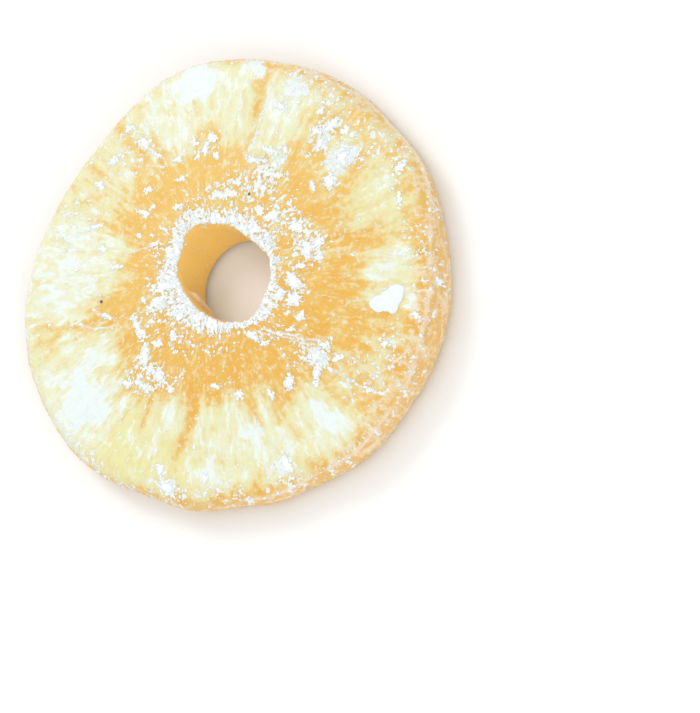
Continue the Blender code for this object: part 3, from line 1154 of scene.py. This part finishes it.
AMBER = (0.700, 0.394, 0.065)
CORE = (0.716, 0.466, 0.118)
STRAW = (0.692, 0.602, 0.300)
YELLOW = (0.698, 0.678, 0.345)
PALE = (0.694, 0.716, 0.490)
BLEACHED = (0.714, 0.752, 0.668)
FROST = (0.730, 0.785, 0.735)
CREAM = (0.720, 0.640, 0.450)
WHITE = (0.740, 0.785, 0.780)
VEIL = (0.712, 0.775, 0.765)
# The wall of the hole: its own deeper amber, with painted light on top, brighter than it would be to make
# up for the shade inside the hole.
INNER_WALL_WITH_PAINTED_LIGHT = (0.840, 0.540, 0.145)
OUTER_WALL = (0.690, 0.432, 0.152)
WALL_STREAK = (0.760, 0.665, 0.500)
ROSY = (0.738, 0.625, 0.480)
# Pale crust on the crest and ridges, together with a painted highlight where they catch the light.
CREST_CRUST_AND_HIGHLIGHT = (0.765, 0.700, 0.610)


def flesh_material():
    """Amber round the core, pale fibrous cells outside it, and white where sugar lies."""
    nodes = Nodes("candied_flesh_look")
    shader = nodes.shader
    where = nodes.add("ShaderNodeTexCoord").outputs["Object"]
    polar = nodes.field("polar", vector=True)
    inner_wall = nodes.field("inner_wall")
    outer_wall = nodes.field("outer_wall")
    bare = nodes.math("SUBTRACT", 1.0, inner_wall)

    streaks = nodes.noise(nodes.scaled(polar, (24.0, 24.0, 2.0)), 1.0, 2.0, 0.5)
    frost = nodes.noise(nodes.scaled(polar, (34.0, 34.0, 3.4)), 1.0, 4.0, 0.6)
    dashes = nodes.noise(nodes.scaled(polar, (60.0, 60.0, 8.0)), 1.0, 2.0, 0.5)
    broad_streaks = nodes.noise(nodes.scaled(polar, (11.0, 11.0, 1.2)), 1.0, 3.0, 0.6)
    milk = nodes.noise(nodes.scaled(polar, (17.0, 17.0, 2.6)), 1.3, 3.0, 0.6)
    honey = nodes.noise(nodes.scaled(polar, (15.0, 15.0, 1.5)), 1.7, 2.0, 0.6)
    mottle = nodes.noise(where, 1000.0, 3.0, 0.6)
    patches = nodes.noise(where, 330.0, 2.0, 0.5)
    grain = nodes.noise(where, 3200.0, 2.0, 0.6)

    tone = nodes.around(streaks, 1.0, nodes.field("pale"))
    tone = nodes.around(broad_streaks, 0.8, tone)
    tone = nodes.around(mottle, 0.8, tone)
    tone = nodes.around(patches, 1.1, tone)
    depth = nodes.around(broad_streaks, 0.8, nodes.field("amber"))
    depth = nodes.around(mottle, 0.6, depth)

    colour = nodes.mix(nodes.smooth(depth, 0.0, 0.85), CORE, AMBER)
    colour = nodes.mix(nodes.smooth(tone, -0.05, 0.58), colour, STRAW)
    light = nodes.mix(nodes.smooth(nodes.field("yellow"), 0.35, 0.9), PALE, YELLOW)
    colour = nodes.mix(nodes.smooth(tone, 0.30, 0.95), colour, light)
    sunk = nodes.math("MULTIPLY", nodes.smooth(honey, 0.54, 0.66), nodes.smooth(tone, 0.3, 0.8, 0.0, 0.7))
    colour = nodes.mix(sunk, colour, STRAW)
    cool = nodes.math("SUBTRACT", tone, nodes.math("MULTIPLY", nodes.field("yellow"), 0.40))
    cool = nodes.around(milk, 2.8, nodes.around(patches, 0.8, cool))
    colour = nodes.mix(nodes.smooth(cool, 0.55, 1.45), colour, BLEACHED)
    crisp = nodes.smooth(nodes.around(frost, 3.6, nodes.around(dashes, 0.5, cool)), 0.98, 1.20, 0.0, 0.9)
    colour = nodes.mix(crisp, colour, FROST)
    colour = nodes.mix(nodes.math("MULTIPLY", nodes.field("crease"), 1.1, clamp=True), colour, CORE)
    side = nodes.smooth(nodes.around(mottle, 1.2, outer_wall), 0.15, 0.8, 0.0, 0.92)
    colour = nodes.mix(side, colour, OUTER_WALL)
    bands = nodes.noise(nodes.scaled(where, (420.0, 420.0, 1500.0)), 1.0, 4.0, 0.6)
    blush = nodes.around(mottle, 0.4, nodes.around(patches, 0.4, bands))
    blush = nodes.smooth(blush, 0.42, 0.70, 0.0, 0.7)
    colour = nodes.mix(nodes.math("MULTIPLY", blush, outer_wall), colour, WALL_STREAK)
    # The wall of the hole in deeper amber, painted brighter to stand in for the light that the hole's
    # shade keeps from it.
    colour = nodes.mix(nodes.math("MULTIPLY", inner_wall, 0.95), colour, INNER_WALL_WITH_PAINTED_LIGHT)
    colour = nodes.mix(nodes.math("MULTIPLY", nodes.field("flap"), 0.9), colour, ROSY)

    dust = nodes.around(grain, 0.3, nodes.around(mottle, 1.5, nodes.around(dashes, 1.4, 0.5)))
    dust = nodes.smooth(dust, 0.50, 0.95)
    colour = nodes.mix(nodes.math("MULTIPLY", nodes.math("MULTIPLY", dust, bare), 0.7), colour, CREAM)
    # A pale line on the ridges and the crest: partly pale crust, partly a painted highlight where they
    # catch the light.
    rim = nodes.math("MULTIPLY_ADD", nodes.field("ridge"), 5.0, nodes.field("crest"), clamp=True)
    colour = nodes.mix(nodes.math("MULTIPLY", rim, 0.9), colour, CREST_CRUST_AND_HIGHLIGHT)
    rosy = nodes.around(mottle, 2.0, nodes.around(patches, 1.0, nodes.field("rim")))
    colour = nodes.mix(nodes.smooth(rosy, 0.45, 0.85, 0.0, 0.55), colour, ROSY)
    haze = nodes.around(frost, 1.8, nodes.around(mottle, 0.5, nodes.field("veil")))
    colour = nodes.mix(nodes.smooth(haze, 0.28, 0.80), colour, VEIL)
    strokes = nodes.noise(nodes.scaled(polar, (30.0, 30.0, 7.0)), 1.0, 3.0, 0.6)
    fleck = nodes.around(strokes, 0.9, nodes.noise(where, 1300.0, 2.0, 0.5))
    fleck = nodes.smooth(fleck, 0.26, 0.74)
    cover = nodes.smooth(nodes.math("SUBTRACT", nodes.field("sugar"), fleck), -0.05, 0.10)
    colour = nodes.mix(cover, colour, WHITE)
    nodes.join(colour, shader.inputs["Base Color"])

    nodes.join(nodes.smooth(cover, 0.0, 1.0, 0.48, 0.75), shader.inputs["Roughness"])
    shader.inputs["IOR"].default_value = 1.45
    shader.inputs["Specular IOR Level"].default_value = 0.3
    shader.inputs["Subsurface Weight"].default_value = 0.3
    shader.inputs["Subsurface Radius"].default_value = (1.0, 0.55, 0.18)
    shader.inputs["Subsurface Scale"].default_value = 1.6 * MM

    lumpy = nodes.bump(mottle, 0.15 * MM, 0.8)
    crusty = nodes.bump(nodes.math("MULTIPLY_ADD", grain, 0.5, cover), 0.10 * MM, 0.8, lumpy)
    nodes.join(crusty, shader.inputs["Normal"])
    return nodes.material


def speck_material():
    nodes = Nodes("speck_look")
    where = nodes.add("ShaderNodeTexCoord").outputs["Object"]
    tint = nodes.noise(where, 4000.0, 2.0, 0.5)
    nodes.join(nodes.mix(tint, (0.10, 0.05, 0.02), (0.30, 0.16, 0.06)), nodes.shader.inputs["Base Color"])
    nodes.shader.inputs["Roughness"].default_value = 0.7
    return nodes.material


def sugar_material(name, cool, warm):
    """White sugar: bright, faintly glassy, and a little uneven from grain to grain."""
    nodes = Nodes(name)
    shader = nodes.shader
    where = nodes.add("ShaderNodeTexCoord").outputs["Object"]
    tint = nodes.noise(where, 900.0, 2.0, 0.5)
    colour = nodes.mix(nodes.smooth(tint, 0.35, 0.75), cool, warm)
    nodes.join(colour, shader.inputs["Base Color"])
    nodes.join(nodes.smooth(tint, 0.3, 0.7, 0.3, 0.6), shader.inputs["Roughness"])
    shader.inputs["IOR"].default_value = 1.54
    return nodes.material


def floor_material():
    """A plain pale floor that fades far away into the white of the studio."""
    nodes = Nodes("pale_floor")
    where = nodes.add("ShaderNodeTexCoord").outputs["Object"]
    cloud = nodes.noise(where, 14.0, 2.0, 0.5)
    colour = nodes.mix(cloud, (0.84, 0.84, 0.837), (0.86, 0.86, 0.857))
    nodes.join(colour, nodes.shader.inputs["Base Color"])
    nodes.shader.inputs["Roughness"].default_value = 0.8
    nodes.shader.inputs["Specular IOR Level"].default_value = 0.2
    distance = nodes.add("ShaderNodeVectorMath", operation="LENGTH")
    nodes.join(where, distance.inputs[0])
    haze = nodes.add("ShaderNodeEmission")
    haze.inputs["Color"].default_value = (*STUDIO_WHITE, 1.0)
    haze.inputs["Strength"].default_value = STUDIO_LIGHT
    both = nodes.add("ShaderNodeMixShader")
    nodes.join(nodes.smooth(distance.outputs["Value"], 0.2, 1.3), both.inputs[0])
    nodes.join(nodes.shader.outputs[0], both.inputs[1])
    nodes.join(haze.outputs[0], both.inputs[2])
    nodes.join(both.outputs[0], nodes.tree.nodes["Material Output"].inputs["Surface"])
    return nodes.material


# The stage.


def add_floor():
    bpy.ops.mesh.primitive_plane_add(size=6.0, location=(0.0, 0.0, -0.02 * MM))
    floor = bpy.context.object
    floor.name = "floor"
    floor.data.materials.append(floor_material())


def add_light(name, energy, location):
    """A broad round light that looks at the ring."""
    light = bpy.data.lights.new(name, "AREA")
    light.shape = "DISK"
    light.size = 0.30
    light.energy = energy
    lamp = bpy.data.objects.new(name, light)
    lamp.location = location
    lamp.rotation_mode = "QUATERNION"
    lamp.rotation_quaternion = (-lamp.location).to_track_quat("-Z", "Y")
    bpy.context.scene.collection.objects.link(lamp)


def add_lights():
    world = bpy.data.worlds.new("studio")
    world.use_nodes = True
    background = world.node_tree.nodes["Background"]
    background.inputs["Color"].default_value = (*STUDIO_WHITE, 1.0)
    background.inputs["Strength"].default_value = STUDIO_LIGHT
    bpy.context.scene.world = world
    add_light("key", 1.6, (-0.36, 0.42, 0.50))
    add_light("fill", 0.9, (0.38, -0.42, 0.34))


def add_camera():
    """The camera leans from straight above towards CAMERA_BEARING, with +X level in the picture."""
    tilt, bearing = math.radians(CAMERA_TILT), math.radians(CAMERA_BEARING)
    towards = Vector((math.cos(bearing), math.sin(bearing), 0.0))
    beside = Vector((-math.sin(bearing), math.cos(bearing), 0.0))
    back = towards * math.sin(tilt) + Vector((0.0, 0.0, math.cos(tilt)))
    foreshortened = towards * math.cos(tilt) - Vector((0.0, 0.0, math.sin(tilt)))
    right = foreshortened * math.cos(bearing) - beside * math.sin(bearing)
    up = foreshortened * math.sin(bearing) + beside * math.cos(bearing)
    aim = (right * FRAME_RIGHT - up * FRAME_DOWN) * MM
    data = bpy.data.cameras.new("camera")
    data.lens = LENS
    data.sensor_width = SENSOR
    distance = FRAME_HEIGHT * MM * LENS / SENSOR
    camera = bpy.data.objects.new("camera", data)
    turn = Matrix((right, up, back)).transposed().to_4x4()
    camera.matrix_world = Matrix.Translation(aim + back * distance) @ turn
    bpy.context.scene.collection.objects.link(camera)
    bpy.context.scene.camera = camera


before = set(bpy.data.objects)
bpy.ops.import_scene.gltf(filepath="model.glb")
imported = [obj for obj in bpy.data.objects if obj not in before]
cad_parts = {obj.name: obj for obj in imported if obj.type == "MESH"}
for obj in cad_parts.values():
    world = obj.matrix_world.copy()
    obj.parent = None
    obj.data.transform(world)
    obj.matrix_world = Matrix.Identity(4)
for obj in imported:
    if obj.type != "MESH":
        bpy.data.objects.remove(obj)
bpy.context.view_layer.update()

surface = Surface(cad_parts[NODE])
fields = surface_fields(surface)
surface.raise_by(relief(surface, fields))
flesh = add_piece("candied_flesh", grid_mesh("candied_flesh", surface, fields), flesh_material())
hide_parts(NODE)
add_sugar(surface, fields)
add_specks(surface)

add_floor()
add_lights()
add_camera()
bpy.context.scene.view_settings.view_transform = "Standard"
